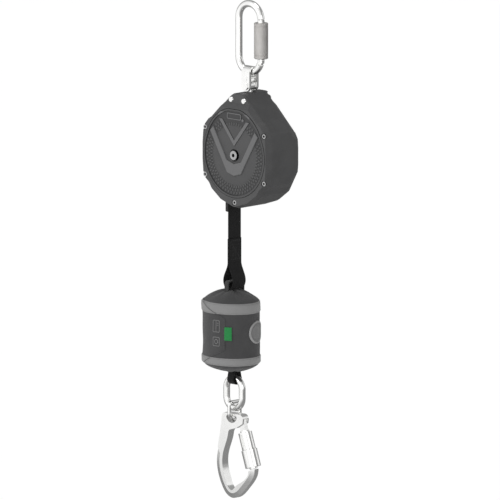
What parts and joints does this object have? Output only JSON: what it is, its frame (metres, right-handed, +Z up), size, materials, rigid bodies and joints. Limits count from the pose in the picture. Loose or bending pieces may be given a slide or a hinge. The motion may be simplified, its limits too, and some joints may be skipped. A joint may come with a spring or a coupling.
{
  "type": "self retracting lifeline",
  "caption": "Hanging webbing fall limiter: oval carabiner, swivel, moulded drum housing, short webbing, cloth energy absorber pouch, ring and a double action gated hook.",
  "frame": {"origin": "anchor point, the inside top of the oval carabiner, in the middle plane of the housing", "axes": "+Z up along the hanging line, -Y out of the housing's front cover, +X towards the carabiner's gate"},
  "size_m": [0.1434, 0.0776, 0.7163],
  "materials": {
    "plated_steel": "bright zinc plated and lightly brushed",
    "polished_steel": "polished steel rod",
    "satin_sleeve": "satin grey knurled sleeve",
    "housing_plastic": "fine moulded texture, dark grey",
    "panel_plastic": "fine moulded texture, dark grey",
    "black_steel": "blackened screws and pins",
    "drum_plastic": "moulded nylon",
    "bronze_bush": "plain bearing metal",
    "spring_steel": "blued spring strip",
    "aluminium_plate": "stamped plate",
    "black_webbing": "woven polyester",
    "grey_webbing": "woven polyester",
    "pouch_cloth": "coated pack cloth, dark grey",
    "band_cloth": "grey woven tape",
    "flap_cloth": "coated cloth with welded outlines",
    "green_tape": "green woven tab",
    "forged_steel": "plated forging",
    "black_plastic": "moulded stop and mouth"
  },
  "bodies": {
    "carabiner": {"carabiner_body": "polished_steel", "carabiner_gate_pin": "polished_steel"},
    "carabiner_gate": {"carabiner_gate": "polished_steel"},
    "carabiner_sleeve": {"carabiner_sleeve": "satin_sleeve"},
    "clevis": {"swivel_clevis": "plated_steel", "clevis_spacer_pin": "plated_steel", "clevis_pin": "plated_steel"},
    "stud": {"swivel_stud": "plated_steel", "thrust_washer": "plated_steel", "stud_nut": "plated_steel"},
    "housing": {"front_shell": "housing_plastic", "rear_shell": "housing_plastic", "front_panel": "panel_plastic", "rear_panel": "panel_plastic", "housing_screws": "black_steel", "frame_rivets": "black_steel", "frame_plate_front": "aluminium_plate", "frame_plate_rear": "aluminium_plate", "swivel_block": "plated_steel", "frame_spacers": "plated_steel", "guide_pins": "plated_steel", "webbing_mouth": "black_plastic", "drum_axle": "plated_steel", "hub_screw_front": "black_steel", "hub_screw_rear": "black_steel", "ratchet_ring": "forged_steel", "spring_case": "drum_plastic", "power_spring": "spring_steel"},
    "guide_roller_outer": {"guide_roller_outer": "plated_steel"},
    "guide_roller_inner": {"guide_roller_inner": "plated_steel"},
    "drum": {"drum_core": "aluminium_plate", "drum_bush": "bronze_bush", "drum_flange_front": "aluminium_plate", "drum_flange_rear": "aluminium_plate", "webbing_coil": "black_webbing", "pawl_pins": "plated_steel"},
    "pawl_right": {"pawl_right": "forged_steel"},
    "pawl_left": {"pawl_left": "forged_steel"},
    "lifeline_end": {"lifeline_webbing": "black_webbing", "webbing_stop": "black_plastic", "lifeline_tail": "black_webbing", "lifeline_loop": "black_webbing"},
    "pack": {"pack_cover": "pouch_cloth", "absorber_core": "grey_webbing", "pack_top_loop": "grey_webbing", "pack_bottom_loop": "grey_webbing", "band_top": "band_cloth", "band_bottom": "band_cloth", "pack_flap": "flap_cloth", "label_tab": "green_tape", "round_patch": "flap_cloth"},
    "ring": {"oval_ring": "forged_steel"},
    "link": {"hook_link": "forged_steel"},
    "hook": {"hook_body": "forged_steel", "hook_gate_pin": "forged_steel"},
    "hook_gate": {"hook_gate": "forged_steel"},
    "hook_sleeve_upper": {"hook_sleeve_upper": "forged_steel"},
    "hook_sleeve_lower": {"hook_sleeve_lower": "forged_steel"}
  },
  "joints": [
    {"name": "carabiner_gate_hinge", "type": "hinge", "parent": "carabiner", "child": "carabiner_gate", "pos_m": [0.022, 0, -0.074], "axis": [0, -1, 0], "range_deg": [0, 22], "stiffness_Nm_per_rad": 0.12, "springref_deg": -20.05},
    {"name": "carabiner_sleeve_twist", "type": "hinge", "parent": "carabiner_gate", "child": "carabiner_sleeve", "pos_m": [0.022, 0, -0.045], "axis": [0, 0, 1], "range_deg": [0, 90], "stiffness_Nm_per_rad": 0.02, "springref_deg": -28.65},
    {"name": "clevis_swing", "type": "hinge", "parent": "carabiner", "child": "clevis", "pos_m": [0, 0, -0.093], "axis": [1, 0, 0], "range_deg": [-75, 75]},
    {"name": "stud_tilt", "type": "hinge", "parent": "clevis", "child": "stud", "pos_m": [0, 0, -0.112], "axis": [0, 1, 0], "range_deg": [-45, 45]},
    {"name": "housing_swivel", "type": "hinge", "parent": "stud", "child": "housing", "pos_m": [0, 0, -0.12], "axis": [0, 0, 1], "continuous": true},
    {"name": "payout", "type": "slide", "parent": "housing", "child": "lifeline_end", "axis": [0, 0, -1], "range_m": [0, 1.3], "stiffness_N_per_m": 2, "springref_m": -10, "deforming": ["lifeline_webbing"]},
    {"name": "drum_spin", "type": "hinge", "parent": "housing", "child": "drum", "pos_m": [0, 0, -0.208], "axis": [0, -1, 0], "range_deg": [0, 3370]},
    {"name": "guide_roller_outer_spin", "type": "hinge", "parent": "housing", "child": "guide_roller_outer", "pos_m": [-0.03515, 0, -0.242], "axis": [0, 1, 0], "continuous": true},
    {"name": "guide_roller_inner_spin", "type": "hinge", "parent": "housing", "child": "guide_roller_inner", "pos_m": [-0.02685, 0, -0.245], "axis": [0, 1, 0], "continuous": true},
    {"name": "pawl_right_throw", "type": "hinge", "parent": "drum", "child": "pawl_right", "pos_m": [0.021, -0.0164, -0.208], "axis": [0, 1, 0], "range_deg": [0, 10], "stiffness_Nm_per_rad": 0.01, "springref_deg": -20.05},
    {"name": "pawl_left_throw", "type": "hinge", "parent": "drum", "child": "pawl_left", "pos_m": [-0.021, -0.0164, -0.208], "axis": [0, 1, 0], "range_deg": [0, 10], "stiffness_Nm_per_rad": 0.01, "springref_deg": -20.05},
    {"name": "pack_swing", "type": "hinge", "parent": "lifeline_end", "child": "pack", "pos_m": [-0.031, 0, -0.398], "axis": [0, 1, 0], "range_deg": [-25, 25]},
    {"name": "ring_swing", "type": "hinge", "parent": "pack", "child": "ring", "pos_m": [-0.031, 0, -0.53415], "axis": [1, 0, 0], "range_deg": [-60, 60]},
    {"name": "link_swing", "type": "hinge", "parent": "ring", "child": "link", "pos_m": [-0.031, 0, -0.57765], "axis": [1, 0, 0], "range_deg": [-50, 50]},
    {"name": "hook_swing", "type": "hinge", "parent": "link", "child": "hook", "pos_m": [-0.031, 0, -0.59435], "axis": [0, 1, 0], "range_deg": [-12, 12]},
    {"name": "hook_gate_hinge", "type": "hinge", "parent": "hook", "child": "hook_gate", "pos_m": [-0.0164, 0, -0.5916], "axis": [0, 1, 0], "range_deg": [0, 19], "stiffness_Nm_per_rad": 0.15, "springref_deg": -20.05},
    {"name": "hook_sleeve_lift", "type": "slide", "parent": "hook_gate", "child": "hook_sleeve_lower", "axis": [-0.3289, 0, 0.9444], "range_m": [0, 0.008], "stiffness_N_per_m": 400, "springref_m": -0.01},
    {"name": "hook_sleeve_turn", "type": "hinge", "parent": "hook_gate", "child": "hook_sleeve_upper", "pos_m": [-0.00653, 0, -0.61993], "axis": [-0.3289, 0, 0.9444], "range_deg": [0, 60], "stiffness_Nm_per_rad": 0.02, "springref_deg": -28.65}
  ],
  "couplings": [
    {"joint": "drum_spin", "follows": "payout", "rad_per_m": 45.164}
  ]
}
